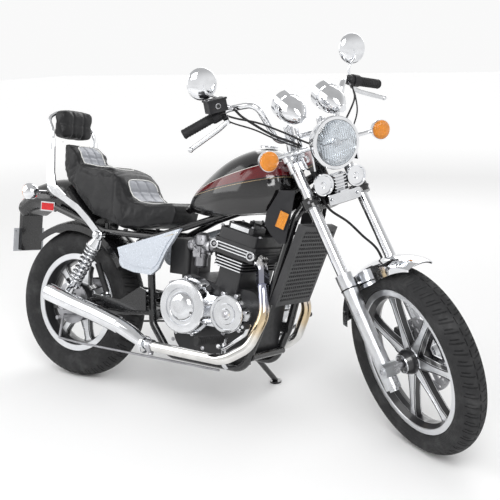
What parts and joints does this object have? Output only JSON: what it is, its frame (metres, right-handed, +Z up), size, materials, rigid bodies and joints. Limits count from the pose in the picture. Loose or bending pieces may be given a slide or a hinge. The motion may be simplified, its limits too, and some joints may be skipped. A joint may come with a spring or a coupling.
{
  "type": "cruiser motorcycle",
  "caption": "Middleweight cruiser motorcycle with stepped seat, upright handlebar, cast wheels and an open twin engine, parked on its side stand.",
  "frame": {"origin": "centre of the bounding box's footprint, on the ground between the tyres", "axes": "+X forward along the machine, +Y to the rider's left, +Z up; the machine leans to +Y onto its stand"},
  "size_m": [2.187, 0.8034, 1.3943],
  "materials": {
    "tyre": "satin rubber",
    "rubber": "moulded rubber",
    "cast_wheel": "black paint with polished edges",
    "steel": "brushed",
    "chrome": "polished",
    "alloy": "polished casting",
    "black_frame": "gloss black",
    "engine_black": "satin black",
    "tank_paint": "gloss black with a red stripe",
    "panel_paint": "polished silver",
    "seat_vinyl": "grained vinyl",
    "black_plastic": "moulded",
    "amber": "amber lens",
    "red_lens": "red lens",
    "clear": "clear glass",
    "mirror": "mirror",
    "plate": "blank plate"
  },
  "bodies": {
    "front_wheel": {"front_tyre": "tyre", "front_rim": "cast_wheel", "front_disc": "steel"},
    "rear_wheel": {"rear_tyre": "tyre", "rear_rim": "cast_wheel", "rear_pulley": "steel"},
    "steering": {"fork_tubes": "chrome", "fork_sliders": "alloy", "lower_clamp": "black_frame", "upper_clamp": "alloy", "front_axle": "steel", "handlebar": "chrome", "grips": "rubber", "hand_controls": "black_plastic", "mirrors": "chrome", "mirror_glass": "mirror", "headlight_shell": "chrome", "headlight_lens": "clear", "gauge_cups": "chrome", "gauge_glass": "clear", "horns": "chrome", "badge_plate": "alloy", "front_indicators": "chrome", "front_indicators_lenses": "amber", "front_fender": "chrome", "lamp_ears": "chrome", "gauge_stalks": "chrome", "front_caliper": "engine_black", "levers": "alloy", "brake_hose": "rubber"},
    "side_stand": {"side_stand": "black_frame"},
    "chassis": {"backrest_pad": "seat_vinyl", "carburettors": "alloy", "drive_belt": "rubber", "engine_barrel": "engine_black", "engine_case": "alloy", "engine_covers": "alloy", "engine_head": "engine_black", "exhaust_pipes": "chrome", "foot_controls": "alloy", "foot_rubbers": "rubber", "frame": "black_frame", "fuel_cap": "chrome", "fuel_tank": "tank_paint", "number_plate": "plate", "radiator": "black_plastic", "radiator_shrouds": "black_plastic", "rear_axle": "steel", "rear_brake": "alloy", "rear_fender": "black_frame", "rear_indicators": "chrome", "rear_indicators_lenses": "amber", "seat": "seat_vinyl", "shock_bodies": "chrome", "shock_springs": "chrome", "side_covers": "panel_paint", "silencers": "chrome", "sissy_bar": "chrome", "swing_arm": "black_frame", "tail_lamp": "red_lens"}
  },
  "joints": [
    {"name": "steering_turn", "type": "hinge", "parent": "chassis", "child": "steering", "pos_m": [0.94232, -0.18399, 0.00178], "axis": [-0.5224, 0.1627, 0.837], "range_deg": [0, 75.7]},
    {"name": "front_wheel_spin", "type": "hinge", "parent": "steering", "child": "front_wheel", "pos_m": [0.80333, -0.16085, 0.32726], "axis": [0.5232, 0.8363, 0.164], "continuous": true},
    {"name": "rear_wheel_spin", "type": "hinge", "parent": "chassis", "child": "rear_wheel", "pos_m": [-0.71415, -0.12376, 0.31163], "axis": [0, 0.9816, -0.1908], "continuous": true},
    {"name": "side_stand_fold", "type": "hinge", "parent": "chassis", "child": "side_stand", "pos_m": [0.05587, -0.00494, 0.17868], "axis": [0.0132, 0.7786, 0.6273], "range_deg": [0, 92.5]}
  ]
}
